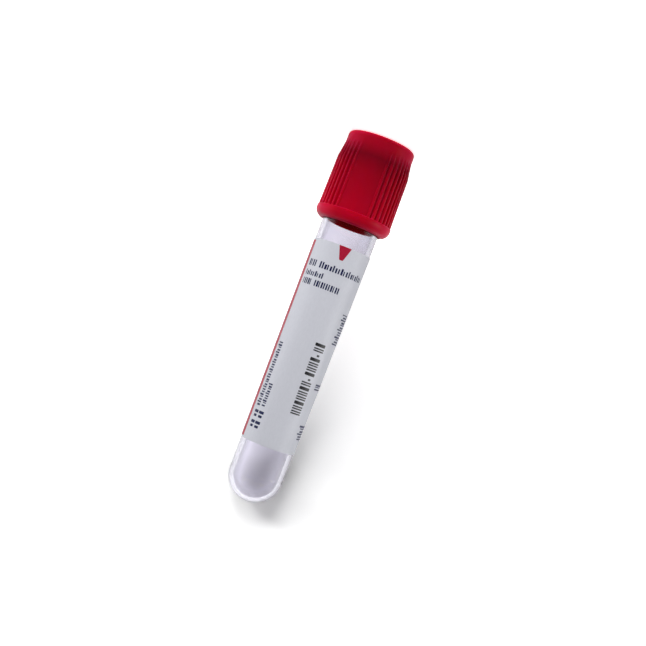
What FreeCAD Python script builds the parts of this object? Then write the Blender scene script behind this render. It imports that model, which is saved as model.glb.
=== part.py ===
import FreeCAD, Part

import math
import os

from FreeCAD import Placement, Rotation, Vector

# Blood collection tube, standing on the flat top of its cap, because it rolls on its side.
# Every piece is first built the other way up: Z is the tube's axis and the tip of its round
# end is at height 0. stand_on_cap() then turns the finished pieces over. Angles are counted
# about Z from X, and 90 degrees is the front. Lengths are in millimetres.

# Tube: clear plastic, straight where a rack holds it, then wider towards the mouth so that
# it leaves its mould
tube_length = 75.0
tube_mouth_radius = 6.475
round_end_radius = 6.0
seat_band_length = 6.8
tube_wall = 1.05
rim_chamfer = 0.25
gate_mark_radius = 0.9
gate_mark_depth = 0.2

# Label: one paper strip round the tube that leaves a clear window
label_from_tip = 12.9
label_length = 45.6
label_wrap_degrees = 300.0
label_start_degrees = 6.0
label_paper = 0.1
label_glue = 0.02
label_corner_radius = 1.5

# Stopper: rubber plug, rim flange, neck and head
plug_length = 8.5
plug_clearance = 0.05
plug_band_height = 2.0
plug_relief_depth = 0.25
plug_lead_in = 1.0
cup_radius = 3.2
cup_depth = 6.0
flange_thickness = 2.0
flange_inset = 0.075
neck_radius = 4.0
head_radius = 4.5
head_height = 0.9
dish_radius = 3.1
dish_depth = 1.0
rubber_chamfer = 0.3

# Shield: red moulded cap over the stopper and the tube's mouth
cap_length = 20.0
cap_above_rim = 8.3
skirt_clearance = 0.225
skirt_draft = 0.05
skirt_wall_high = 1.15
skirt_wall_low = 1.25
cap_top_rounding = 1.0
top_ring_height = 2.9
shoulder_height = 3.3
shoulder_step = 0.27
collar_height = 2.6
collar_ledge = 0.45
collar_edge_chamfer = 0.15
lip_rounding = 2.0
retaining_ring_height = 1.0
stopper_fit = 0.05
head_clearance = 0.1
well_edge_chamfer = 0.4

# Grip ribs: groups of ribs with a smooth thumb panel between two groups
thumb_panel_degrees = 85.7
rib_groups = 3
ribs_in_group = 9
rib_pitch_degrees = 360.0 / 42
rib_width = 0.6
rib_crest_rounding = 0.22
rib_proud_high = 0.27
rib_proud_low = 0.3
rib_sunk_high = 0.25
rib_sunk_low = 0.28
rib_start_below_top = 2.7
rib_root_depth = 0.3

# Places that follow from the sizes above
cap_top = tube_length + cap_above_rim
cap_bottom = cap_top - cap_length
collar_top = cap_bottom + collar_height
shoulder_top = cap_top - top_ring_height
shoulder_bottom = shoulder_top - shoulder_height
rib_start = cap_top - rib_start_below_top
flange_top = tube_length + flange_thickness
ring_top = flange_top + retaining_ring_height
head_top = ring_top + head_height
skirt_bore_high = tube_mouth_radius + skirt_clearance
skirt_bore_low = skirt_bore_high + skirt_draft
flange_radius = tube_mouth_radius - flange_inset
well_radius = head_radius + head_clearance
panel_radius_high = skirt_bore_high + skirt_wall_high
panel_radius_low = skirt_bore_low + skirt_wall_low
cap_top_radius = panel_radius_high - shoulder_step
collar_radius = panel_radius_low + collar_ledge
rib_crest_high = panel_radius_high + rib_proud_high
rib_crest_low = panel_radius_low + rib_proud_low
rib_valley_high = panel_radius_high - rib_sunk_high
rib_valley_low = panel_radius_low - rib_sunk_low
seat_band_top = round_end_radius + seat_band_length
tube_draft = (tube_mouth_radius - round_end_radius) / (tube_length - seat_band_top)

AXIS_BASE = Vector(0, 0, 0)
AXIS = Vector(0, 0, 1)


def tube_radius(height, inward=0.0):
    """Radius of the tube's wall at a height, moved inward."""
    return round_end_radius - inward + max(height - seat_band_top, 0.0) * tube_draft


def at(radius, height):
    """A point of a profile: its distance from the axis and its height."""
    return Vector(radius, 0, height)


def line(*points):
    """Straight edges through the points, in order."""
    return [Part.LineSegment(a, b).toShape() for a, b in zip(points, points[1:])]


def arc(start, centre, end):
    """The shorter arc about a centre from one point to another."""
    middle = (start - centre) + (end - centre)
    middle.normalize()
    middle.multiply((start - centre).Length)
    return Part.Arc(start, centre + middle, end).toShape()


def turned(edges, degrees=360.0):
    """The solid that a closed profile sweeps about the axis."""
    face = Part.Face(Part.Wire(Part.sortEdges(edges)[0]))
    solid = face.revolve(AXIS_BASE, AXIS, degrees)
    if solid.Volume < 0:
        solid.reverse()
    return solid


def spun(shape, degrees):
    """A copy of a shape, turned about the axis."""
    copy = shape.copy()
    copy.rotate(AXIS_BASE, AXIS, degrees)
    return copy


def wall_line(bottom, top, inward):
    """Points of the tube's wall between two heights: where its draft begins is one of them."""
    heights = [bottom, top]
    if bottom < seat_band_top < top:
        heights.insert(1, seat_band_top)
    return [at(tube_radius(height, inward), height) for height in heights]


def tube_skin(inward):
    """One skin of the tube: its round end's arc, its straight band and its drafted wall."""
    radius = round_end_radius - inward
    centre = at(0, round_end_radius)
    round_end = arc(at(0, round_end_radius - radius), centre, at(radius, round_end_radius))
    return [round_end] + line(*wall_line(round_end_radius, tube_length, inward))


def make_tube():
    """Test tube with a round end, a drafted wall, a soft rim and the mould's gate mark."""
    rim = line(at(tube_radius(tube_length, tube_wall), tube_length),
               at(tube_radius(tube_length), tube_length))
    tip = line(at(0, 0), at(0, tube_wall))
    body = turned(tube_skin(0.0) + rim + tube_skin(tube_wall) + tip)
    rim_edges = [e for e in body.Edges if e.Closed and e.BoundBox.ZMin > tube_length - 0.01]
    body = body.makeChamfer(rim_chamfer, rim_edges)
    gate = Part.makeCylinder(gate_mark_radius, 2 * gate_mark_depth,
                             at(0, -gate_mark_depth), AXIS)
    return body.cut(gate)


def make_label():
    """Paper strip on the tube's wall, with rounded corners and a window."""
    bottom = label_from_tip
    top = label_from_tip + label_length
    inside = wall_line(bottom, top, -label_glue)
    outside = wall_line(bottom, top, -(label_glue + label_paper))
    band = turned(line(*inside, *reversed(outside), inside[0]), label_wrap_degrees)
    for edge_degrees, inward in ((0.0, 1), (label_wrap_degrees, -1)):
        for height, upward in ((bottom, 1), (top, -1)):
            waste = spun(label_corner_waste(inward, upward), edge_degrees)
            waste.translate(Vector(0, 0, height))
            band = band.cut(waste)
    return spun(band, label_start_degrees)


def label_corner_waste(inward, upward):
    """What is cut away to round one corner of the label, where its edge faces along X."""
    side = label_corner_radius
    reach = tube_mouth_radius + 1
    spare = side / 2
    waste = Part.makeBox(reach, side + spare, side + spare, Vector(0, -spare, -spare))
    waste = waste.cut(Part.makeCylinder(side, reach, Vector(0, side, side), Vector(1, 0, 0)))
    if inward < 0:
        waste = waste.mirror(AXIS_BASE, Vector(0, 1, 0))
    if upward < 0:
        waste = waste.mirror(AXIS_BASE, AXIS)
    return waste


def make_stopper():
    """Rubber stopper: cupped plug with two sealing bands, flange, neck and dished head."""
    plug_bottom = tube_length - plug_length
    lower_band_top = plug_bottom + plug_lead_in + plug_band_height
    upper_band_bottom = tube_length - plug_band_height

    def plug(height, relief=0.0):
        return at(tube_radius(height, tube_wall + plug_clearance) - relief, height)

    cup_top = plug_bottom + cup_depth
    cup_wall_top = cup_top - cup_radius / 2
    bulge = (cup_radius ** 2 + (cup_radius / 2) ** 2) / cup_radius
    dish_bulge = (dish_radius ** 2 + dish_depth ** 2) / (2 * dish_depth)
    edges = [arc(at(0, cup_top), at(0, cup_top - bulge), at(cup_radius, cup_wall_top))]
    edges += line(at(cup_radius, cup_wall_top),
                  at(cup_radius, plug_bottom),
                  at(plug(plug_bottom).x - plug_lead_in / 2, plug_bottom),
                  plug(plug_bottom + plug_lead_in),
                  plug(lower_band_top),
                  plug(lower_band_top + plug_relief_depth, plug_relief_depth),
                  plug(upper_band_bottom - plug_relief_depth, plug_relief_depth),
                  plug(upper_band_bottom),
                  plug(tube_length),
                  at(flange_radius, tube_length),
                  at(flange_radius, flange_top - rubber_chamfer),
                  at(flange_radius - rubber_chamfer, flange_top),
                  at(neck_radius, flange_top),
                  at(neck_radius, ring_top),
                  at(head_radius, ring_top),
                  at(head_radius, head_top - rubber_chamfer),
                  at(head_radius - rubber_chamfer, head_top),
                  at(dish_radius, head_top))
    edges.append(arc(at(dish_radius, head_top), at(0, head_top - dish_depth + dish_bulge),
                     at(0, head_top - dish_depth)))
    edges += line(at(0, head_top - dish_depth), at(0, cup_top))
    return turned(edges)


def make_rib():
    """One grip rib: it grows out of the shoulder, runs down to the collar and has a round crest."""
    root = rib_valley_high - rib_root_depth
    outline = line(at(root, rib_start),
                   at(rib_valley_high, rib_start),
                   at(rib_crest_high, shoulder_bottom),
                   at(rib_crest_low, collar_top),
                   at(root, collar_top),
                   at(root, rib_start))
    plate = Part.Face(Part.Wire(outline)).extrude(Vector(0, rib_width, 0))
    plate.translate(Vector(0, -rib_width / 2, 0))
    crests = [e for e in plate.Edges if min(v.X for v in e.Vertexes) > root + 0.01
              and e.Length > rib_width + 0.01]
    return plate.makeFillet(rib_crest_rounding, crests)


def make_rib_field():
    """The hollow that one group of ribs stands in, from the shoulder down to the collar."""
    beyond = rib_crest_low + 1
    span = (ribs_in_group - 1) * rib_pitch_degrees
    field = turned(line(at(rib_valley_high, rib_start),
                        at(rib_valley_low, collar_top),
                        at(beyond, collar_top),
                        at(beyond, rib_start),
                        at(rib_valley_high, rib_start)), span)
    return spun(field, -span / 2)


def shoulder():
    """The shield's swelling below its top ring: a hollow arc that runs into a full one."""
    step = panel_radius_high - cap_top_radius
    radius = (shoulder_height ** 2 + step ** 2) / (4 * step)
    start = at(cap_top_radius, shoulder_top)
    end = at(panel_radius_high, shoulder_bottom)
    middle = at((start.x + end.x) / 2, (start.z + end.z) / 2)
    return [arc(start, at(start.x + radius, start.z), middle),
            arc(middle, at(end.x - radius, end.z), end)]


def make_shield_blank():
    """The shield before its ribs: top ring, shoulder, panels, collar, lip, bore and well."""
    top_edge = cap_top_radius - cap_top_rounding
    well_edge = well_radius + well_edge_chamfer
    lip_centre = at(collar_radius - lip_rounding, cap_bottom + lip_rounding)
    lip_end = lip_centre.z - math.sqrt(lip_rounding ** 2 - (skirt_bore_low - lip_centre.x) ** 2)
    ring_inner = neck_radius + stopper_fit

    edges = line(at(well_edge, cap_top), at(top_edge, cap_top))
    edges.append(arc(at(top_edge, cap_top), at(top_edge, cap_top - cap_top_rounding),
                     at(cap_top_radius, cap_top - cap_top_rounding)))
    edges += line(at(cap_top_radius, cap_top - cap_top_rounding),
                  at(cap_top_radius, shoulder_top))
    edges += shoulder()
    edges += line(at(panel_radius_high, shoulder_bottom),
                  at(panel_radius_low, collar_top),
                  at(collar_radius - collar_edge_chamfer, collar_top),
                  at(collar_radius, collar_top - collar_edge_chamfer),
                  at(collar_radius, lip_centre.z))
    edges.append(arc(at(collar_radius, lip_centre.z), lip_centre, at(skirt_bore_low, lip_end)))
    edges += line(at(skirt_bore_low, lip_end),
                  at(skirt_bore_high, flange_top),
                  at(ring_inner, flange_top),
                  at(ring_inner, ring_top),
                  at(well_radius, ring_top),
                  at(well_radius, cap_top - well_edge_chamfer),
                  at(well_edge, cap_top))
    return turned(edges)


def make_shield():
    """Moulded cap with groups of grip ribs and a smooth panel between two groups."""
    shield = make_shield_blank()
    group_angle = 360.0 / rib_groups
    first_rib = -(ribs_in_group - 1) / 2 * rib_pitch_degrees
    rib = make_rib()
    for group in range(rib_groups):
        middle = thumb_panel_degrees + (group + 0.5) * group_angle
        shield = shield.cut(spun(make_rib_field(), middle))
        ribs = [spun(rib, middle + first_rib + i * rib_pitch_degrees)
                for i in range(ribs_in_group)]
        shield = shield.fuse(ribs)
    return shield.removeSplitter()


def stand_on_cap(pieces):
    """Turns the upright pieces over, so that the cap's flat top is on the bench."""
    over = Placement(Vector(0, 0, cap_top), Rotation(Vector(1, 0, 0), 180.0))
    for piece in pieces.values():
        piece.Placement = over.multiply(piece.Placement)


pieces = {
    "tube": make_tube(),
    "label": make_label(),
    "stopper": make_stopper(),
    "shield": make_shield(),
}
stand_on_cap(pieces)
os.makedirs("parts", exist_ok=True)
for name, piece in pieces.items():
    solid = piece.Solids[0] if len(piece.Solids) == 1 else piece
    print(name, len(piece.Solids), "solid(s), valid", piece.isValid(),
          "volume %.1f mm3" % piece.Volume, len(piece.Faces), "faces")
    solid.exportStep("parts/%s.step" % name)
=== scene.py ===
# %% [markdown]
# # A blood collection tube, standing on its cap
#
# The frame is the measured model of the tube: four solids that already have their true sizes
# and places. This lesson makes their finished look: a clear moulded tube, a printed paper
# label, a rubber stopper and a ribbed red cap. Each finished piece is made in metres, in the
# frame's own place, so nothing has to be fitted afterwards.

# %% Load the frame
import math

import bmesh
import bpy
import numpy as np
from mathutils import Matrix, Vector


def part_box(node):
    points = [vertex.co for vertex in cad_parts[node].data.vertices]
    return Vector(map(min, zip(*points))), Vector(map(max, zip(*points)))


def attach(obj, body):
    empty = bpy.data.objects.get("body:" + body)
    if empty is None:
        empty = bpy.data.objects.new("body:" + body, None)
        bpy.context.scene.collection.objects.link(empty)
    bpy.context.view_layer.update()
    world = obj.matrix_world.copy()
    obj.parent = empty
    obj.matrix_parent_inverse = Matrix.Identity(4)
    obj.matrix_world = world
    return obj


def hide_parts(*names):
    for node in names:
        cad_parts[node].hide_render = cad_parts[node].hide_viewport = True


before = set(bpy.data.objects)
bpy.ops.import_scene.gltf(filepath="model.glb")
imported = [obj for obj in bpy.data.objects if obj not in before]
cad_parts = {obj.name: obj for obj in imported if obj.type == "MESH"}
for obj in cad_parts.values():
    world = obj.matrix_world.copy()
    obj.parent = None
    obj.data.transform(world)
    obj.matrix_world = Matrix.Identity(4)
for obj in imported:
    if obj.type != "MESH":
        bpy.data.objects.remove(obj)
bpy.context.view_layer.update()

# %% [markdown]
# ## Units and directions
#
# The tube was drawn in millimetres, and Blender works in metres, so the heights and radii
# below are turned into metres in one place. Heights are counted up from the bench that the
# cap stands on. A turn is an angle about the tube's axis in degrees: 0 is the front, and it
# grows to the right of somebody who holds the tube with its cap up.

# %% Place a point by turn, radius and height
MM = 0.001


def place(turn, radius, height):
    """A point on the tube, from its turn in degrees and its radius and height in mm."""
    angle = math.radians(turn)
    return (-radius * math.sin(angle) * MM, -radius * math.cos(angle) * MM, height * MM)


for node in sorted(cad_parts):
    low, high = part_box(node)
    print(node, "from %.2f to %.2f mm above the bench" % (low.z / MM, high.z / MM))

# %% [markdown]
# ## Profiles
#
# Nearly every piece of this tube was turned or moulded round one axis, so it can be drawn as
# a profile: a row of corners, each with a radius from the axis, a height, and how much that
# corner is rounded. A real moulded edge is never perfectly sharp, and the thin bright line
# that a rounded edge catches is what makes plastic look like plastic.

# %% Round the corners of a profile
# A rounded corner takes up at most this share of the run on each side of it.
share_of_run = 0.48


def soften(corners, steps=5):
    """Points of a profile whose corners (radius, height, rounding) are rounded."""
    points = []
    for i, (r, h, rounding) in enumerate(corners):
        here = np.array([r, h], float)
        if rounding <= 0 or i in (0, len(corners) - 1):
            points.append(here)
            continue
        before = np.array(corners[i - 1][:2], float) - here
        after = np.array(corners[i + 1][:2], float) - here
        shorter = min(np.linalg.norm(before), np.linalg.norm(after))
        reach = min(rounding, share_of_run * shorter)
        start = here + before / np.linalg.norm(before) * reach
        end = here + after / np.linalg.norm(after) * reach
        for k in range(steps + 1):
            f = k / steps
            points.append((1 - f) ** 2 * start + 2 * f * (1 - f) * here + f ** 2 * end)
    return points


def divide(points, longest):
    """The same profile with no run longer than the given length in mm."""
    finer = [points[0]]
    for a, b in zip(points, points[1:]):
        parts = max(1, math.ceil(np.linalg.norm(b - a) / longest))
        finer += [a + (b - a) * k / parts for k in range(1, parts + 1)]
    return finer


def arc(centre_r, centre_h, radius, start, end, steps):
    """Points of an arc in a profile: 0 degrees points away from the axis, 90 points up."""
    angles = np.radians(np.linspace(start, end, steps + 1))
    return [np.array([centre_r + radius * math.cos(a), centre_h + radius * math.sin(a)])
            for a in angles]

# %% [markdown]
# ## From rings to a mesh
#
# Blender has a Spin tool and a Screw modifier for turned shapes. Here the rings are joined by
# hand: the cap needs rings whose radius changes with the turn, for its grip ribs, and one
# helper then makes every turned piece. Normals are recalculated to face outwards, and edges
# sharper than a chosen angle stay crisp while the rest is shaded smooth.

# %% Join rings of points into a closed mesh
def in_scene(name, data):
    """A new object in the scene for a mesh, a lamp or a camera."""
    thing = bpy.data.objects.new(name, data)
    bpy.context.scene.collection.objects.link(thing)
    return thing


def finish_mesh(name, points, faces, sharp_degrees=35.0):
    """A new object from points in metres and faces, with outward normals."""
    mesh = bpy.data.meshes.new(name)
    mesh.from_pydata([tuple(p) for p in points], [], faces)
    mesh.validate()
    work = bmesh.new()
    work.from_mesh(mesh)
    bmesh.ops.recalc_face_normals(work, faces=work.faces)
    work.to_mesh(mesh)
    work.free()
    mesh.polygons.foreach_set("use_smooth", [True] * len(mesh.polygons))
    mesh.set_sharp_from_angle(angle=math.radians(sharp_degrees))
    piece = in_scene(name, mesh)
    print(name, len(mesh.vertices), "points", len(mesh.polygons), "faces")
    return piece


def bridge(count, a, b):
    """Faces between two rings of as many points, given the rings' numbers."""
    faces = []
    for i in range(count):
        j = (i + 1) % count
        faces.append((a * count + i, a * count + j, b * count + j, b * count + i))
    return faces


def join_rings(name, rings, sharp_degrees, poles=()):
    """Rings of equally many points, joined in order and closed: by two poles or as a loop."""
    count = len(rings[0])
    points = [p for ring in rings for p in ring]
    faces = []
    for a in range(len(rings) - 1 if poles else len(rings)):
        faces += bridge(count, a, (a + 1) % len(rings))
    for pole, ring in zip(poles, (0, len(rings) - 1)):
        points.append(pole)
        top = len(points) - 1
        faces += [(ring * count + i, ring * count + (i + 1) % count, top) for i in range(count)]
    return finish_mesh(name, points, faces, sharp_degrees)


def lathe(name, profile, columns, sharp_degrees):
    """A turned piece from a profile that starts and ends on the axis, where it is closed."""
    first, *body, last = profile
    poles = (place(0, 0, first[1]), place(0, 0, last[1]))
    turns = [360.0 * i / columns for i in range(columns)]
    rings = [[place(t, r, h) for t in turns] for r, h in body]
    return join_rings(name, rings, sharp_degrees, poles)

# %% [markdown]
# ## The tube's shape
#
# The tube is one injection moulding with a round end. It is straight for a few millimetres
# where a rack holds it, then widens a little towards its mouth so that it can leave the
# mould. The gate, where the plastic came in, leaves a small dimple at the tip. Inner and
# outer skin are one closed surface here, because light has to bend at both.

# %% Make the clear tube
bench_to_tip = 83.3
tube_rim = 8.3
end_radius, mouth_radius, wall = 6.0, 6.475, 1.05
end_centre = bench_to_tip - end_radius
tip_to_seat_band_end = 12.8
seat_band_end = bench_to_tip - tip_to_seat_band_end


def tube_radius(height):
    """Outer radius of the tube's wall at a height."""
    rise = min(1.0, max(0.0, (seat_band_end - height) / (seat_band_end - tube_rim)))
    return end_radius + (mouth_radius - end_radius) * rise


# The gate is a dimple with a low stub in it, where the plastic was cut off.
gate_radius, gate_depth, gate_floor_radius = 0.9, 0.2, 0.86
stub_foot, stub_top, stub_height, stub_peak = 0.25, 0.2, 0.06, 0.07
gate_floor = bench_to_tip - gate_depth
gate_angle = math.degrees(math.acos(gate_radius / end_radius))
gate_edge = end_centre + end_radius * math.sin(math.radians(gate_angle))
gate = soften([(gate_radius, gate_edge, 0), (gate_floor_radius, gate_floor, 0.06),
               (stub_foot, gate_floor, 0.05), (stub_top, gate_floor + stub_height, 0.04),
               (0.0, gate_floor + stub_peak, 0)], steps=3)
outer_end = arc(0, end_centre, end_radius, 0, gate_angle, steps=44)
inner_end = arc(0, end_centre, end_radius - wall, 90, 0, steps=40)
inner_end[0][0] = 0.0

# The mould's parting line is a low bead round the wall: how far up, and how far out.
bead_start = end_centre - 0.5
bead = ((0.06, 0.0), (0.12, 0.025), (0.2, 0.035), (0.28, 0.025), (0.34, 0.0), (0.5, 0.0))
wall_step = 1.4
rim_end, rim_rounding = tube_rim + 0.3, 0.26
outer_heights = (rim_end, seat_band_end, bead_start)
inner_heights = (end_centre, seat_band_end, rim_end)
outer_wall = divide([np.array([tube_radius(h), h]) for h in outer_heights], wall_step)
outer_wall += [np.array([end_radius + out, bead_start + up]) for up, out in bead]
inner_wall = divide([np.array([tube_radius(h) - wall, h]) for h in inner_heights], wall_step)
rim = soften([(mouth_radius - wall, rim_end, 0), (mouth_radius - wall, tube_rim, rim_rounding),
              (mouth_radius, tube_rim, rim_rounding), (mouth_radius, rim_end, 0)])
tube_profile = inner_end + inner_wall[1:-1] + rim + outer_wall[1:-1] + outer_end + gate[1:]
tube_columns = 192
clear_tube = lathe("clear_tube", tube_profile, tube_columns, sharp_degrees=50.0)
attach(clear_tube, "tube")
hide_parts("tube")

# %% [markdown]
# ## A kit for the finishes
#
# Each finish is a small network of shader nodes. The helper below adds a node, sets the
# values it is given, and links whatever is passed as a socket, so that a finish reads as a
# short list of what it is made of. Object coordinates are used for every pattern: they are
# in metres, so a scale of 1000 makes grains about a millimetre across.
#
# Two helpers sort rays by the Light Path node. `seen` is 1 for rays that show the stage to
# the viewer. `hidden` is nearly 1 for what gloss and clear walls mirror of the room's front,
# which is dark, as behind a real camera: a clear wall needs something dark to mirror, or it
# turns milky. A ray that goes straight through isn't a mirrored one: its Glossy Depth is 0,
# so a tube seen from behind stays clear.

# %% Add and link shader nodes
# Where the room's front starts to get dark and where it is darkest, along Y, and how dark.
front_start, front_end, front_dark = -0.30, -0.75, 0.97
# The Mix node's sockets for colours: its factor, both colours and its result.
MIX_FACTOR, MIX_FIRST, MIX_SECOND, MIX_RESULT = 0, 6, 7, 2


class Finish:
    """The nodes of a material, or of the world when one is given."""

    def __init__(self, name, world=None):
        self.material = world or bpy.data.materials.new(name)
        self.material.use_nodes = True
        self.nodes = self.material.node_tree.nodes
        self.links = self.material.node_tree.links
        self.nodes.clear()
        self.out = self.add("OutputWorld" if world else "OutputMaterial")
        self.where = self.add("TexCoord").outputs["Generated" if world else "Object"]

    def add(self, kind, inputs=None, **settings):
        """A node of a kind, with its inputs set or linked and its settings applied."""
        node = self.nodes.new("ShaderNode" + kind)
        for key, value in settings.items():
            setattr(node, key, value)
        for key, value in (inputs or {}).items():
            if isinstance(value, bpy.types.NodeSocket):
                self.links.new(value, node.inputs[key])
            else:
                node.inputs[key].default_value = value
        return node

    def noise(self, scale, detail=3.0, roughness=0.5, stretch=(1, 1, 1)):
        """A noise pattern of a scale, stretched along the axes."""
        mapping = self.add("Mapping", {"Vector": self.where, "Scale": stretch})
        return self.add("TexNoise", {"Vector": mapping.outputs[0], "Scale": scale,
                                     "Detail": detail, "Roughness": roughness}).outputs[0]

    def ramp(self, value, *stops):
        """A colour ramp through (position, colour) stops."""
        node = self.add("ValToRGB", {"Fac": value})
        elements = node.color_ramp.elements
        for element, (position, colour) in zip(elements, (stops[0], stops[-1])):
            element.position, element.color = position, (*colour, 1)
        for position, colour in stops[1:-1]:
            elements.new(position).color = (*colour, 1)
        return node.outputs["Color"]

    def remap(self, value, start, end, low=0.0, high=1.0):
        """A value that goes from low to high while the given one goes from start to end."""
        return self.add("MapRange", {"Value": value, "From Min": start, "From Max": end,
                                     "To Min": low, "To Max": high}).outputs[0]

    def span(self, pattern, low, high):
        """A noise pattern spread between two numbers. Most of its values lie round 0.5."""
        return self.remap(pattern, 0.25, 0.75, low, high)

    def bump(self, height, strength, distance_mm, normal=None):
        """A bump from a height pattern. Its distance is in mm."""
        inputs = {"Height": height, "Strength": strength, "Distance": distance_mm * MM}
        if normal is not None:
            inputs["Normal"] = normal
        return self.add("Bump", inputs).outputs[0]

    def math(self, operation, a, b):
        """The result of one sum on two values."""
        return self.add("Math", {0: a, 1: b}, operation=operation).outputs[0]

    def mix(self, factor, first, second, blend_type="MIX"):
        """Two colours mixed: the first where the factor is 0, the second where it is 1."""
        inputs = {MIX_FACTOR: factor, MIX_FIRST: first, MIX_SECOND: second}
        return self.add("Mix", inputs, data_type="RGBA", blend_type=blend_type).outputs[MIX_RESULT]

    def times(self, first, second):
        """One colour multiplied by another."""
        return self.mix(1.0, first, second, "MULTIPLY")

    def either(self, switch, first, second):
        """The first shader where the switch is 0, the second where it is 1."""
        return self.add("MixShader", {"Fac": switch, 1: first, 2: second}).outputs[0]

    def axis(self, letter):
        """The place along X, Y or Z."""
        return self.add("SeparateXYZ", {"Vector": self.where}).outputs[letter]

    def back(self):
        """1 on the back of a surface."""
        return self.add("NewGeometry").outputs["Backfacing"]

    def facing(self):
        """0 where a surface looks at the viewer, and 1 where it is seen edge on."""
        return self.add("LayerWeight", {"Blend": 0.5}).outputs["Facing"]

    def path(self, fact):
        """What the Light Path node says about a ray, such as Is Camera Ray."""
        return self.add("LightPath").outputs[fact]

    def in_plastic(self):
        """1 for a ray that gloss has mirrored or that went through a clear wall."""
        return self.math("MAXIMUM", self.path("Is Glossy Ray"), self.path("Is Transmission Ray"))

    def seen(self):
        """1 for a ray from the camera, and for one that shows in gloss or in a clear wall."""
        return self.math("MAXIMUM", self.path("Is Camera Ray"), self.in_plastic())

    def hidden(self, size):
        """Nearly 1 for what is mirrored of the dark front, where the camera is."""
        once = self.math("MINIMUM", self.path("Glossy Depth"), 1.0)
        mirrored = self.math("MULTIPLY", self.in_plastic(), once)
        front = self.remap(self.axis("Y"), front_start * size, front_end * size, high=front_dark)
        return self.math("MULTIPLY", mirrored, front)

    def surface(self, shader):
        """Makes a shader the surface of the material and returns the material."""
        self.links.new(shader, self.out.inputs["Surface"])
        return self.material

# %% [markdown]
# ## Clear plastic
#
# The tube is polyester, which bends light a little more than window glass and has a faint
# lavender cast from the dye that hides its natural yellow. The Principled shader with full
# transmission makes it. Towards the rim a ray has more wall to go through, so the colour
# deepens there, by the Layer Weight node's Facing. A very long, weak ripple in the wall gives
# the slightly uneven reflections of a moulded tube.
#
# Blender's path tracer can't send a lamp's light through bent surfaces in good time, so for
# shadow rays and for light on its way between matt surfaces the plastic is a simple
# see-through veil, which the Light Path node picks. The veil takes away about as much light
# as a real tube bends aside, most of all at the rim, so that the shadow looks right.

# %% Finish the clear tube
veil_middle, veil_rim = (0.60, 0.59, 0.62), (0.26, 0.25, 0.29)


def clear_plastic():
    """Clear moulded polyester, with see-through shadows."""
    f = Finish("clear plastic")
    ripple = f.noise(160.0, detail=1.5, roughness=0.4, stretch=(1, 1, 0.35))
    haze = f.noise(900.0, detail=4.0, roughness=0.6, stretch=(1, 1, 0.25))
    facing = f.facing()
    deep = f.ramp(facing, (0.10, (0.87, 0.855, 0.92)), (0.30, (0.77, 0.76, 0.83)),
                  (0.48, (0.54, 0.53, 0.60)), (0.75, (0.34, 0.33, 0.39)))
    cloud = f.ramp(haze, (0.3, (0.97, 0.97, 0.98)), (0.7, (1.0, 1.0, 1.0)))
    body = f.add("BsdfPrincipled", {
        "Base Color": f.times(deep, cloud), "Roughness": f.span(haze, 0.02, 0.05), "IOR": 1.57,
        "Transmission Weight": 1.0, "Normal": f.bump(ripple, strength=0.06, distance_mm=0.04)})
    veil = f.add("BsdfTransparent", {"Color": f.ramp(facing, (0.2, veil_middle), (0.65, veil_rim))})
    veiled = f.math("MAXIMUM", f.path("Is Shadow Ray"), f.path("Is Diffuse Ray"))
    return f.surface(f.either(veiled, body.outputs[0], veil.outputs[0]))


clear_tube.data.materials.append(clear_plastic())

# %% [markdown]
# ## The label's shape
#
# The label is one strip of paper, stuck round the tube with a clear window left open so that
# the level in the tube can be read. Its corners are rounded so that they don't peel. It is
# built as columns from end to end, and near an end they are shorter by what a round corner
# takes away.

# %% Make the paper label
label_low, label_high = 24.8, 70.4
label_first, label_last = -84.0, 216.0
label_gap, paper = 0.02, 0.1
label_middle_radius = 6.3
label_columns, label_rows = 150, 40
corner = 1.5
corner_steps = [0.0, 0.03, 0.1, 0.22, 0.4, 0.65, 0.95, 1.25, corner]


def label_radius(height):
    """Radius of the label's printed face at a height."""
    return tube_radius(height) + label_gap + paper


def corner_cut(distance):
    """How far a rounded corner stands back, at a distance in mm from the strip's end."""
    if distance >= corner:
        return 0.0
    return corner - math.sqrt(max(0.0, corner ** 2 - (corner - distance) ** 2))


def label_turns():
    """Each column's turn and its distance in mm from the strip's nearer end."""
    width = math.radians(label_last - label_first) * label_middle_radius
    even = list(np.linspace(corner, width - corner, label_columns))[1:-1]
    distances = corner_steps + even + [width - d for d in reversed(corner_steps)]
    return [(label_first + math.degrees(d / label_middle_radius), min(d, width - d))
            for d in distances]


def make_label():
    """The strip as a closed thin solid: printed face, back and edges."""
    loops = []
    for turn, distance in label_turns():
        cut = corner_cut(distance)
        heights = np.linspace(label_low + cut, label_high - cut, label_rows + 1)
        front = [place(turn, label_radius(h), h) for h in heights]
        back = [place(turn, label_radius(h) - paper, h) for h in reversed(heights)]
        loops.append(front + back)
    size = len(loops[0])
    points = [p for loop in loops for p in loop]
    faces = []
    for a in range(len(loops) - 1):
        faces += bridge(size, a, a + 1)
    for a in (0, len(loops) - 1):
        for i in range(label_rows):
            first, last = a * size + i, a * size + size - 1 - i
            faces.append((first, first + 1, last - 1, last))
    return finish_mesh("paper_label", points, faces)


paper_label = make_label()
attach(paper_label, "tube")
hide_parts("label")

# %% [markdown]
# ## Coated paper
#
# The label is white paper with a satin coating. Close up it has a faint fibre cloud in the
# colour, a fine tooth in the surface, and an uneven gloss where the coating is thicker. The
# glue under it leaves very shallow, wide waves.

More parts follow.
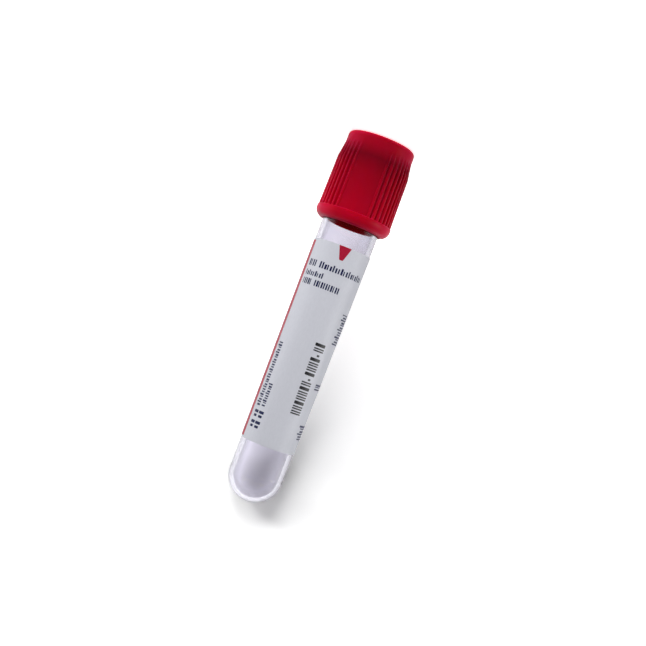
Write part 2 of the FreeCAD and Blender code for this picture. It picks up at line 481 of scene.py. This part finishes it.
# %% Finish the paper
def coated_paper():
    """Cool white label paper with a satin coating."""
    f = Finish("label paper")
    fibres = f.noise(2600.0, detail=6.0, roughness=0.65, stretch=(1, 1, 0.5))
    cloud = f.noise(420.0)
    tooth = f.bump(fibres, strength=0.18, distance_mm=0.02)
    waves = f.bump(cloud, strength=0.10, distance_mm=0.08, normal=tooth)
    colour = f.mix(f.span(fibres, 0.0, 1.0), (0.640, 0.650, 0.712, 1), (0.685, 0.695, 0.758, 1))
    body = f.add("BsdfPrincipled", {
        "Base Color": colour, "Roughness": f.span(cloud, 0.40, 0.52),
        "Specular IOR Level": 0.4, "Normal": waves})
    return f.surface(body.outputs[0])


paper_label.data.materials.append(coated_paper())

# %% [markdown]
# ## The print
#
# Ink stands on the paper as a film far thinner than a hair. Each printed mark is a small
# closed shape that lies on the label's curve, so the print keeps its crisp edges from any
# distance. The marks are plain shapes that stand where print would be: an edge stripe, a
# fill wedge that points into the tube, and rows of small bars. Places on the label are given
# as a turn in degrees and a height.

# %% A printed mark on the label's curve
ink_top, ink_foot = 0.012, 0.002
degrees_per_column = 3.0
# A block's rounded corner: shares of its height and of its width that are cut away.
corner_rows = ((0.0, 1.0), (0.3, 0.3), (1.0, 0.0))
most_rounding = 0.4


class Print:
    """All the marks of one colour of ink, gathered into one mesh."""

    def __init__(self):
        self.points, self.faces = [], []

    def shape(self, rows):
        """A closed mark from rows (height, first turn, last turn), from low to high."""
        widest = max(b - a for _, a, b in rows)
        columns = max(2, math.ceil(widest / degrees_per_column) + 1)
        base = len(self.points)
        for lift in (ink_top, ink_foot):
            for h, a, b in rows:
                r = label_radius(h) + lift
                self.points += [place(t, r, h) for t in np.linspace(a, b, columns)]
        count = len(rows)
        layer = count * columns

        def at(level, i, j):
            return base + level * layer + i * columns + j

        for i in range(count - 1):
            for j in range(columns - 1):
                for level in (0, 1):
                    self.faces.append((at(level, i, j), at(level, i, j + 1),
                                       at(level, i + 1, j + 1), at(level, i + 1, j)))
            for j in (0, columns - 1):
                self.faces.append((at(0, i, j), at(0, i + 1, j), at(1, i + 1, j), at(1, i, j)))
        for i in (0, count - 1):
            for j in range(columns - 1):
                self.faces.append((at(0, i, j), at(0, i, j + 1), at(1, i, j + 1), at(1, i, j)))

    def block(self, turn, height, width, tall, rounding):
        """A block with rounded corners: its first corner, its width in degrees and height in mm."""
        cut = min(rounding, tall * most_rounding)
        give = min(math.degrees(cut / label_middle_radius), width * most_rounding)
        rows = [(height + cut * a, turn + give * b, turn + width - give * b)
                for a, b in corner_rows]
        rows += [(height + tall - cut * a, turn + give * b, turn + width - give * b)
                 for a, b in reversed(corner_rows)]
        self.shape(rows)

    def make(self, name):
        """The mesh of all the marks so far."""
        piece = finish_mesh(name, self.points, self.faces)
        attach(piece, "tube")
        return piece

# %% [markdown]
# ### Red ink
#
# A red stripe runs along the label's first edge, so that a machine can place it straight.
# The wedge at the cap's end marks the fill side.

# %% Print the red marks
red = Print()
stripe_first, stripe_last = -77.0, -63.4
stripe_inset, stripe_rows = 0.45, 30
stripe_heights = np.linspace(label_low + stripe_inset, label_high - stripe_inset, stripe_rows)
red.shape([(h, stripe_first, stripe_last) for h in stripe_heights])
# The wedge's rows: distance from its wide end in mm, then its first and last turn.
wedge_inset = 0.02
wedge = ((0.0, -4.7, 20.0), (0.25, -4.3, 19.4), (1.5, -0.6, 15.8),
         (2.7, 2.8, 12.2), (2.95, 3.6, 11.3), (3.05, 4.6, 10.3))
red.shape([(label_low + wedge_inset + up, first, last) for up, first, last in wedge])
print_red = red.make("print_red")

# %% [markdown]
# ### Dark ink
#
# A line of print seen from arm's length is a row of dark bars with light gaps, so a word is
# a run of upright bars of uneven width and height that says nothing. One short list of
# widths, read from another place for each word, keeps the rows uneven without any chance.

# %% Rows of small bars
bar_widths = [0.62, 0.9, 0.5, 0.78, 0.7, 0.95, 0.55, 0.84, 0.66, 0.74]
bar_heights = [0.78, 1.0, 0.74, 0.8, 1.0, 0.76, 0.82, 0.74, 1.0, 0.78]
widest_bar, bar_rounding = 0.80, 0.08


def across(marks, first, last, low, tall, bars, start, even):
    """A word that reads round the tube: bars between two turns, standing on their high side."""
    pitch = (last - first) / bars
    for k in range(bars):
        n = (k + start) % len(bar_widths)
        height = tall if even or k == 0 else tall * bar_heights[n]
        width = pitch * widest_bar * bar_widths[n]
        marks.block(first + k * pitch, low + (tall - height), width, height, bar_rounding)


def along(marks, first, last, low, high, bars, start, even):
    """A word that reads along the tube: bars between two heights, between two turns."""
    pitch = (high - low) / bars
    for k in range(bars):
        n = (k + start) % len(bar_widths)
        width = (last - first) * (1.0 if even or k == 0 else bar_heights[n])
        height = pitch * widest_bar * bar_widths[n]
        marks.block(last - width, low + k * pitch, width, height, bar_rounding)

# %% Print the navy and black marks
navy = Print()
# Each word: first and last turn, low height, how tall, how many bars, where the list of
# widths is read from, and whether the bars are even in height.
words_across = (
    (-56.0, -35.0, 29.4, 1.45, 4, 1, True),
    (-28.5, 71.5, 29.4, 1.42, 18, 3, False),
    (-56.0, -11.5, 31.75, 1.2, 9, 6, False),
    (-56.0, -31.5, 33.6, 1.32, 5, 2, True),
    (-25.5, 27.5, 33.55, 1.34, 11, 4, True))
# The same, but with a low and a high height.
words_along = (
    (56.5, 81.0, 38.3, 45.4, 13, 2, False),
    (57.0, 82.0, 54.3, 55.8, 3, 1, True),
    (57.0, 82.0, 63.7, 67.2, 6, 5, False),
    (-57.5, -45.5, 48.4, 62.9, 26, 0, False),
    (-42.3, -32.0, 57.5, 62.8, 10, 4, False))
for word in words_across:
    across(navy, *word)
for word in words_along:
    along(navy, *word)
# Pairs of short lines, the second set in a little: turn, width in degrees, height.
pair_inset, pair_rise, pair_rounding = 1.5, 0.95, 0.1
first_tall, second_tall = 0.62, 0.55
pairs = ((-53.8, 11.3, 63.7), (-40.5, 12.3, 63.7), (-53.8, 11.3, 66.0), (-40.5, 12.5, 66.0))
for turn, width, height in pairs:
    navy.block(turn, height, width, first_tall, pair_rounding)
    navy.block(turn + pair_inset, height + pair_rise, width - 2 * pair_inset, second_tall,
               pair_rounding)
print_navy = navy.make("print_navy")

# A ladder of wide bars: every third one is thick, two are short, the rest are thin pairs.
black = Print()
ladder_rows, ladder_start, ladder_pitch = 15, 45.85, 1.085
ladder_turn, ladder_width, ladder_drift = 19.6, 22.8, 0.13
short_rows, short_turn, short_width = (2, 7), 31.0, 5.6
# What a row holds: how far up each bar starts, how tall it is, and its rounding.
short_bar, thick_bar = [(0.3, 0.44, 0.1)], [(0.05, 0.7, 0.14)]
thin_pair = [(0.0, 0.3, 0.1), (0.5, 0.3, 0.1)]
for k in range(ladder_rows):
    turn, width, bars = ladder_turn, ladder_width, thin_pair if k % 3 else thick_bar
    if k in short_rows:
        turn, width, bars = short_turn, short_width, short_bar
    for rise, tall, rounding in bars:
        low = ladder_start + ladder_pitch * k
        black.block(turn + ladder_drift * k, low + rise, width, tall, rounding)
print_black = black.make("print_black")

# %% [markdown]
# ## Printing ink
#
# Ink on coated paper is a little glossier than the paper and slightly uneven in cover, so
# its colour is mottled and its surface has the paper's tooth.

# %% Finish the inks
def ink(name, thin, full):
    """Printing ink whose cover varies between two colours."""
    f = Finish(name)
    cover = f.noise(3200.0, detail=4.0, roughness=0.6)
    body = f.add("BsdfPrincipled", {
        "Base Color": f.ramp(cover, (0.32, thin), (0.62, full)),
        "Roughness": f.span(cover, 0.34, 0.5), "Specular IOR Level": 0.35,
        "Normal": f.bump(cover, strength=0.15, distance_mm=0.01)})
    return f.surface(body.outputs[0])


print_red.data.materials.append(ink("red ink", (0.46, 0.012, 0.045), (0.40, 0.006, 0.032)))
print_navy.data.materials.append(ink("navy ink", (0.012, 0.018, 0.085), (0.006, 0.008, 0.055)))
print_black.data.materials.append(ink("black ink", (0.012, 0.012, 0.016), (0.004, 0.004, 0.006)))

# %% [markdown]
# ## The stopper's shape
#
# The stopper is a moulded rubber plug inside the cap. Its plug closes the tube with two
# bands, its flange rests on the tube's rim, and its head fills the well in the cap's top,
# where a needle goes in through a shallow dish. A turned profile gives all of it.

# %% Make the stopper
plug_length, flange_height, neck_height, head_height = 8.5, 2.0, 1.0, 0.9
plug_end = tube_rim + plug_length
flange_face = tube_rim - flange_height
ring_face = flange_face - neck_height
head_face = ring_face - head_height
head_radius, neck_radius, flange_radius = 4.5, 4.0, 6.4
dish_radius, dish_depth = 3.1, 1.0
cup_radius, cup_depth = 3.2, 1.6
cup_edge, cup_floor = plug_end - 4.4, plug_end - 6.0
plug_gap = 0.05


def plug_radius(height, relief):
    """Radius of the plug: a hair less than the tube's bore, and less again by its relief."""
    return tube_radius(height) - wall - plug_gap - relief


def ball_for(radius, depth):
    """Radius of the ball that a round hollow is part of, and the angle of its edge."""
    ball = (radius ** 2 + depth ** 2) / (2 * depth)
    return ball, math.degrees(math.asin(radius / ball))


dish_ball, dish_angle = ball_for(dish_radius, dish_depth)
dish = arc(0, head_face + dish_depth - dish_ball, dish_ball, 90, 90 - dish_angle, steps=12)
dish[0][0] = 0.0
cup_ball, cup_angle = ball_for(cup_radius, cup_depth)
cup = arc(0, cup_floor + cup_ball, cup_ball, -90 + cup_angle, -90, steps=12)
cup[-1][0] = 0.0

head = [(dish_radius, head_face, 0), (head_radius, head_face, 0.35), (head_radius, ring_face, 0.12),
        (neck_radius, ring_face, 0.05), (neck_radius, flange_face, 0.08),
        (flange_radius, flange_face, 0.35), (flange_radius, tube_rim, 0.1)]
# The plug's corners: height, how far its wall stands back there, and the corner's rounding.
band, groove, lead_in, end_inset = 2.0, 0.25, 1.0, 0.5
plug_corners = ((tube_rim, 0.0, 0.03), (tube_rim + band, 0.0, 0.15),
                (tube_rim + (band + groove), groove, 0.15),
                (plug_end - (lead_in + band + groove), groove, 0.15),
                (plug_end - (lead_in + band), 0.0, 0.15), (plug_end - lead_in, 0.0, 0.4),
                (plug_end, end_inset, 0.25))
plug = [(plug_radius(h, relief), h, rounding) for h, relief, rounding in plug_corners]
hollow = [(cup_radius, plug_end, 0.3), (cup_radius, cup_edge, 0)]
stopper_step, stopper_columns = 0.8, 160
outside = divide(soften(head + plug + hollow), stopper_step)
stopper = lathe("rubber_stopper", dish + outside[1:-1] + cup, stopper_columns, sharp_degrees=40.0)
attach(stopper, "closure")
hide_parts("stopper")

# %% [markdown]
# ## Rubber
#
# Moulded rubber is dark and satin, with a fine grain from the mould and a dusting of the
# powder that keeps stoppers from sticking together. Sheen gives its soft edge.

# %% Finish the stopper
def rubber():
    """Dark red moulded rubber."""
    f = Finish("stopper rubber")
    grain = f.noise(3000.0, detail=5.0, roughness=0.6)
    dust = f.noise(700.0, detail=4.0, roughness=0.6)
    body = f.add("BsdfPrincipled", {
        "Base Color": f.ramp(dust, (0.35, (0.20, 0.012, 0.02)), (0.7, (0.27, 0.03, 0.04))),
        "Roughness": f.span(dust, 0.5, 0.66), "Sheen Weight": 0.15, "Sheen Roughness": 0.5,
        "Normal": f.bump(grain, strength=0.25, distance_mm=0.03)})
    return f.surface(body.outputs[0])


stopper.data.materials.append(rubber())

# %% [markdown]
# ## The cap's shape
#
# Outside, the cap has a top ring, a shoulder, three groups of nine grip ribs with a smooth
# thumb panel between two groups, and a collar with a rolled lip. Inside it has a bore over
# the tube's mouth, a ring that holds the stopper, and the well over the stopper's head. It is
# made as rings, like the turned pieces, but on the outside each point's radius also depends
# on its turn: in a group it drops to the valley between the ribs, and near a rib's middle it
# rises to the rib's crest.

# %% Sizes of the cap
top_rounding, ring_radius, ring_end = 1.0, 7.58, 2.9
shoulder_end = 6.2
panel_near, panel_far = 7.85, 8.0
collar_start, cap_end = 17.4, 20.0
collar_radius, lip_rounding, ledge_soft = 8.45, 2.0, 0.15
bore_near, bore_far = 6.7, 6.75
hold_radius, well_radius, well_chamfer = 4.05, 4.6, 0.4
rib_begin = 2.7
rib_pitch, rib_half, crest_soft, root_soft = 360.0 / 42, 0.3, 0.22, 0.1
crest_near, crest_far = 8.12, 8.3
valley_near, valley_far = 7.6, 7.72
panel_turn = -4.3
ribs_in_group, groups = 9, 3
grip_radius, panel_columns = 8.05, 22


def blend(a, b, f):
    """A number between a and b."""
    return a + (b - a) * min(1.0, max(0.0, f))


def plain_radius(height):
    """Outer radius of the cap without its ribs: ring, shoulder, panel."""
    if height <= ring_end:
        return ring_radius
    if height < shoulder_end:
        f = (height - ring_end) / (shoulder_end - ring_end)
        return blend(ring_radius, panel_near, f * f * (3 - 2 * f))
    return blend(panel_near, panel_far, (height - shoulder_end) / (collar_start - shoulder_end))


def crest_radius(height):
    """Radius of a rib's crest at a height."""
    if height < shoulder_end:
        return blend(valley_near, crest_near, (height - rib_begin) / (shoulder_end - rib_begin))
    return blend(crest_near, crest_far, (height - shoulder_end) / (collar_start - shoulder_end))


def valley_radius(height):
    """Radius between two ribs at a height."""
    return min(plain_radius(height),
               blend(valley_near, valley_far, (height - rib_begin) / (collar_start - rib_begin)))

# %% Columns of the cap, close together where a rib's wall is steep
rib_steps = [0.0, 0.07, 0.15, 0.21, 0.26, 0.29, 0.30, 0.306, 0.32, 0.35, 0.42, 0.52]


def cap_columns():
    """Each column's turn, its distance in mm from a rib's middle, and whether it is in a group."""
    columns = []
    group_turn = 360.0 / groups
    half_group = (ribs_in_group - 1) / 2
    foot_turn = math.degrees(rib_steps[-1] / grip_radius)
    for group in range(groups):
        middle = panel_turn - group_turn / 2 + group_turn * (group + 1)
        for rib in range(ribs_in_group):
            centre = middle + (rib - half_group) * rib_pitch
            for side, steps in ((-1, rib_steps), (1, rib_steps[1:])):
                outer = (rib - half_group) * side == half_group
                for step in steps:
                    turn = centre + side * math.degrees(step / grip_radius)
                    columns.append((turn, step, not outer))
        first = middle + half_group * rib_pitch + foot_turn
        last = middle + group_turn - half_group * rib_pitch - foot_turn
        for k in range(1, panel_columns):
            turn = first + (last - first) * k / panel_columns
            columns.append((turn, math.inf, False))
    return sorted(columns)


def outer_radius(height, step, grouped):
    """Radius of the cap's outside at a height, at a distance from a rib's middle."""
    base = valley_radius(height) if grouped else plain_radius(height)
    crest = crest_radius(height)
    if height < rib_begin or crest <= base:
        return base
    if step <= rib_half - crest_soft:
        return crest
    if step <= rib_half:
        x = step - (rib_half - crest_soft)
        return max(base, crest - crest_soft + math.sqrt(max(0.0, crest_soft ** 2 - x ** 2)))
    x = (step - rib_half) / root_soft
    if x >= 1:
        return base
    foot = min(crest - base, root_soft) * (1 - math.sqrt(max(0.0, 1 - (1 - x) ** 2)))
    return base + foot


cap_turns = cap_columns()

# %% Rings of the cap
top_step, bore_step = 0.9, 1.2
# Rows just before the collar, where the ribs end.
collar_rows = (0.3, 0.16, 0.08)
# A small root where the wall meets the collar's ledge: how far before it, and how far out.
root_rows = ((0.03, 0.03), (0.0, 0.1))
ledge_bend, collar_row, bore_edge = 0.05, 0.4, 0.3


def cap_rings():
    """Rings from the well, over the top ring and down the ribbed outside, then up the bore."""
    top = soften([(hold_radius, flange_face, 0), (hold_radius, ring_face, 0.1),
                  (well_radius, ring_face, 0.12), (well_radius, well_chamfer, 0.06),
                  (well_radius + well_chamfer, 0.0, 0.06),
                  (ring_radius - top_rounding, 0.0, 0)], steps=4)
    top = divide(top, top_step)
    top += arc(ring_radius - top_rounding, top_rounding, top_rounding, -90, 0, steps=10)[1:]
    rings = [[place(t, r, h) for t, _, _ in cap_turns] for r, h in top]

    stations = ((top_rounding, rib_begin, 5), (rib_begin, shoulder_end, 20),
                (shoulder_end, collar_start - collar_rows[0], 22))
    heights = [h for low, high, rows in stations for h in np.linspace(low, high, rows)[1:]]
    heights += [collar_start - row for row in collar_rows[1:]]
    for h in heights:
        rings.append([place(t, outer_radius(h, step, grouped), h)
                      for t, step, grouped in cap_turns])
    ledge = collar_radius - ledge_soft
    for lift, out in root_rows:
        h = collar_start - lift
        rings.append([place(t, min(ledge, outer_radius(h, step, grouped) + out), h)
                      for t, step, grouped in cap_turns])

    lip = [np.array(corner) for corner in (
        (ledge, collar_start), (collar_radius - ledge_bend, collar_start + ledge_bend),
        (collar_radius, collar_start + ledge_soft), (collar_radius, collar_start + collar_row))]
    lip_centre = collar_radius - lip_rounding
    last = math.degrees(math.acos((bore_far - lip_centre) / lip_rounding))
    lip += arc(lip_centre, cap_end - lip_rounding, lip_rounding, 0, last, steps=14)
    lip_end = lip[-1][1]
    bore = soften([(bore_far, lip_end, 0), (bore_far, lip_end - bore_edge, 0.1),
                   (bore_near, flange_face, 0.15), (hold_radius, flange_face, 0)], steps=4)
    lip += divide(bore, bore_step)[1:-1]
    return rings + [[place(t, r, h) for t, _, _ in cap_turns] for r, h in lip]


cap = join_rings("ribbed_cap", cap_rings(), sharp_degrees=38.0)
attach(cap, "closure")
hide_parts("shield")

# %% [markdown]
# ## Red plastic
#
# The cap is polypropylene, coloured right through. It has a soft gloss, a very fine texture
# from the mould's polishing, and faint flow lines along the way the plastic ran. The colour
# is a little deeper where the flow is thick.
#
# The plastic also lets some light through. Subsurface scattering softens the ribs, and the
# rest is painted light and shade in the colour. One ramp by height paints the shoulder
# deepest, as shade from the stopper's head and its ring behind it, and the collar brightest,
# as light with only air behind it. The bore and the turned-away edges are painted brighter
# too, as light that comes through there, and the edges also as a painted reflection.

# %% Finish the cap
# The bore's wall is what lies within this many mm outside its radius.
bore_skin = 0.3
# Painted light: a brighter red painted on the bore's wall, for light that comes through it.
painted_bore_light_red = (0.88, 0.008, 0.04, 1)


def red_plastic():
    """Red moulded polypropylene with a soft gloss, with light and shade painted into its colour."""
    f = Finish("red plastic")
    grain = f.noise(2400.0, detail=4.0, roughness=0.55)
    flow = f.noise(300.0, stretch=(1, 1, 0.2))
    texture = f.bump(grain, strength=0.12, distance_mm=0.02)
    normal = f.bump(flow, strength=0.10, distance_mm=0.06, normal=texture)
    height = f.remap(f.axis("Z"), 0.0, cap_end * MM)
    # Painted light and shade by height: lighter at the top ring, darkest at the shoulder, brightest
    # at the collar.
    red_with_painted_light = f.ramp(height, (0.0, (0.42, 0.002, 0.018)), (0.11, (0.38, 0.002, 0.017)),
                         (0.24, (0.20, 0.001, 0.010)), (0.42, (0.33, 0.001, 0.013)),
                         (0.86, (0.46, 0.0015, 0.018)), (1.0, (0.54, 0.0015, 0.020)))
    flat = f.add("Mapping", {"Vector": f.where, "Scale": (1, 1, 0)}).outputs[0]
    from_axis = f.add("VectorMath", {0: flat}, operation="LENGTH").outputs["Value"]
    inside = f.math("LESS_THAN", from_axis, (bore_far + bore_skin) * MM)
    # The bore's wall takes the brighter red of the painted light.
    red_with_painted_light = f.mix(inside, red_with_painted_light, painted_bore_light_red)
    stain = f.ramp(flow, (0.3, (0.92, 0.8, 0.85)), (0.7, (1.0, 1.0, 1.0)))
    # Painted edge light: edges seen side on are painted brighter and pinker, as light through the
    # plastic and a painted reflection of the white room.
    edge = f.ramp(f.facing(), (0.15, (1.0, 1.0, 1.0)), (0.6, (1.45, 4.0, 3.0)))
    body = f.add("BsdfPrincipled", {
        "Base Color": f.times(red_with_painted_light, f.times(stain, edge)),
        "Roughness": f.span(grain, 0.30, 0.40), "Specular IOR Level": 0.06,
        "Subsurface Weight": 0.6, "Subsurface Radius": (1.0, 0.12, 0.12),
        "Subsurface Scale": 2.4 * MM, "Normal": normal})
    return f.surface(body.outputs[0])


cap.data.materials.append(red_plastic())

# %% [markdown]
# ## The stage
#
# The tube stands on a plain pale floor in front of a plain pale sheet, as on a studio table.
# The sheet leans in until it nearly meets the tube's round end, to take the tube's soft
# shadow, and from there it goes straight up, clear of the tube while it is pulled out.
#
# A lit sheet looks white only when it gets enough light, and more light would also wash out
# the tube. So for the rays that the viewer sees, the sheet is whiter than its paper, and for
# the camera it also glows, most near the floor, where the lamps reach least. The background
# turns white, the shadow stays, and no extra light falls on the tube. Behind the clear end,
# rays through the wall get a small glow of their own, for the light that a real tube gathers.
#
# Two of the lamps below stand lower than the floor. The floor lets their light through: it
# is clear for shadow rays, and also from underneath, where it would hide the cap's top.

# %% Floor and backdrop
stage_seen, upright_seen = 1.31, 1.70
upright_start, upright_end = 72.0, 88.0
glow_end, glow_least = 70.0, 0.03
clear_start, clear_end, clear_glow = 56.0, 74.0, 0.22
# The stage counts as this share of the room's size when its dark front is placed.
stage_share = 0.15
paper_shade = 0.985


def pale(name, colour, glow):
    """A pale matt finish, whiter for the viewer, that glows for the camera and clear walls."""
    f = Finish(name)
    tone = f.noise(14.0, detail=2.0)
    paper = f.ramp(tone, (0.3, colour), (0.7, tuple(c * paper_shade for c in colour)))
    height = f.axis("Z")
    white = f.remap(height, upright_start * MM, upright_end * MM, stage_seen, upright_seen)
    lit = f.math("SUBTRACT", 1.0, f.hidden(stage_share))
    matt = f.add("BsdfDiffuse", {"Color": f.times(f.mix(f.seen(), paper, white), lit)})
    level = f.remap(height, 0.0, glow_end * MM, glow, glow_least)
    clear = f.remap(height, clear_start * MM, clear_end * MM, high=clear_glow)
    strength = f.math("ADD", f.math("MULTIPLY", f.path("Is Camera Ray"), level),
                      f.math("MULTIPLY", f.path("Is Transmission Ray"), clear))
    light = f.add("Emission", {"Color": (1, 1, 1, 1), "Strength": strength})
    return f, f.add("AddShader", {0: matt.outputs[0], 1: light.outputs[0]}).outputs[0]


def open_sheet(name, points, faces, smooth):
    """A sheet with no thickness, from its points in metres and its faces."""
    mesh = bpy.data.meshes.new(name)
    mesh.from_pydata(points, [], faces)
    mesh.polygons.foreach_set("use_smooth", [smooth] * len(faces))
    return in_scene(name, mesh)


floor_low = -0.02 * MM
floor_corners = [(x, y, floor_low) for x, y in ((-3, -3), (3, -3), (3, 3), (-3, 3))]
floor = open_sheet("floor", floor_corners, [(0, 1, 2, 3)], smooth=False)
f, shader = pale("pale floor", (0.80, 0.80, 0.80), glow=0.72)
let_through = f.math("MAXIMUM", f.path("Is Shadow Ray"), f.back())
shader = f.either(let_through, shader, f.add("BsdfTransparent").outputs[0])
floor.data.materials.append(f.surface(shader))

# The leaning part is aimed near_end mm behind the axis at tip_height, and the straight part
# stands clear_of_tube mm behind the axis.
near_end, tip_height, sheet_lean = 6.6, 78.0, 30.0
foot = near_end + tip_height * math.tan(math.radians(sheet_lean))
clear_of_tube, bend, bend_steps = 7.3, 15.0, 16
cove, cove_steps, sheet_lift, flat_run = 12.0, 24, 0.02, 0.5
sheet_half_width, sheet_length = 1.5, 600.0


def sheet_line():
    """The sheet's side view as (depth, height) in mm: floor, cove, leaning part, straight part."""
    opening = math.radians(90.0 - sheet_lean)
    reach = cove / math.tan(opening / 2)
    line = [(foot - reach - flat_run, sheet_lift)]
    for k in range(cove_steps + 1):
        a = (math.pi - opening) * k / cove_steps
        line.append((foot - reach + cove * math.sin(a), sheet_lift + cove * (1 - math.cos(a))))
    lean = math.radians(sheet_lean)
    upright = tip_height - (clear_of_tube - near_end) / math.tan(lean) + bend * math.tan(lean / 2)
    for k in range(bend_steps + 1):
        a = lean * (1 - k / bend_steps)
        line.append((clear_of_tube + bend * (1 - math.cos(a)), upright - bend * math.sin(a)))
    return line + [(clear_of_tube, sheet_length)]


side_view = sheet_line()
sheet_points = [(x, y * MM, z * MM)
                for y, z in side_view for x in (-sheet_half_width, sheet_half_width)]
sheet_faces = [(2 * k, 2 * k + 1, 2 * k + 3, 2 * k + 2) for k in range(len(side_view) - 1)]
backdrop = open_sheet("backdrop", sheet_points, sheet_faces, smooth=True)

# %% [markdown]
# The sheet would hide the tube from anybody behind it, so a ray that meets its back goes
# straight through.

# %% A sheet with a clear back
f, shader = pale("pale backdrop", (0.80, 0.80, 0.81), glow=0.55)
shader = f.either(f.back(), shader, f.add("BsdfTransparent").outputs[0])
backdrop.data.materials.append(f.surface(shader))

# %% [markdown]
# ## Light
#
# Four soft lamps stand in an even white room. The main lamp and the low lamp are on the cap's
# side, lower than the floor, so that the shadow falls beside the tube and past its round end.
# A wide lamp on each side brings out the ribs and the edges. The room is brighter for the
# camera and for reflections than it is as a lamp, so that gloss and clear plastic have
# something white to show, and it is dark at the front, as above.
#
# No lamp shows through the clear walls, and the two low ones aren't mirrored in them either:
# a bent wall would spread a lamp into blown-out white streaks.

# %% Lamps and room
lamp_aim = Vector((0, 0, 0.05))
# Each lamp: name, turn in degrees, then in metres its distance from the axis, its height and
# its face's width and height, and last its power in watts.
lamps = (("main lamp", -42.0, 0.40, -0.08, 0.20, 0.10, 0.60),
         ("left lamp", -84.0, 0.70, 0.062, 0.40, 0.12, 0.50),
         ("right lamp", 80.0, 0.70, 0.062, 0.40, 0.12, 2.10),
         ("low lamp", -14.0, 0.30, -0.13, 0.13, 0.13, 0.46))
for name, turn, away, height, width, tall, power in lamps:
    data = bpy.data.lights.new(name, "AREA")
    data.shape, data.size, data.size_y, data.energy = "RECTANGLE", width, tall, power
    lamp = in_scene(name, data)
    angle = math.radians(turn)
    lamp.location = (-away * math.sin(angle), -away * math.cos(angle), height)
    lamp.rotation_mode = "QUATERNION"
    lamp.rotation_quaternion = (lamp_aim - lamp.location).to_track_quat("-Z", "Y")
    lamp.visible_glossy = name not in ("main lamp", "low lamp")
    lamp.visible_transmission = False

room_light, room_seen = 0.18, 0.9
world = bpy.data.worlds.new("white room")
f = Finish("white room", world)
level = f.remap(f.seen(), 0.0, 1.0, room_light, room_seen)
level = f.math("MULTIPLY", level, f.math("SUBTRACT", 1.0, f.hidden(size=1.0)))
f.surface(f.add("Background", {"Strength": level}).outputs[0])
world.cycles.sampling_method = "NONE"
bpy.context.scene.world = world

# %% [markdown]
# ## The camera
#
# The camera looks squarely at the tube's front from quite near, as at a small thing on a
# table. It is rolled over, so that the tube is shown with its cap at the upper right and its
# round end at the lower left.

# %% Set up the camera
view_elevation, view_azimuth, view_roll = 1.503, -1.7, 20.841
distance, lens = 0.26, 66.80
aim_height, aim_aside = 41.43, 1.845

e, a, roll = (math.radians(v) for v in (view_elevation, view_azimuth, view_roll))
back = Vector((math.sin(a) * math.cos(e), -math.cos(a) * math.cos(e), math.sin(e)))
ahead = -back
# The cap's end of the tube is up in the picture, before the camera is rolled over.
to_cap = Vector((0, 0, -1)) + ahead * ahead.z
to_cap.normalize()
aside = ahead.cross(to_cap)
up = math.cos(roll) * to_cap - math.sin(roll) * aside
right = ahead.cross(up)
aim = Vector((0, 0, aim_height * MM)) + aside * aim_aside * MM
data = bpy.data.cameras.new("camera")
data.lens, data.sensor_width = lens, 36.0
data.clip_start, data.clip_end = 0.01, 20.0
camera = in_scene("camera", data)
turn = Matrix((right, up, -ahead)).transposed().to_4x4()
camera.matrix_world = Matrix.Translation(aim + back * distance) @ turn
bpy.context.scene.camera = camera
bpy.context.scene.view_settings.view_transform = "Standard"
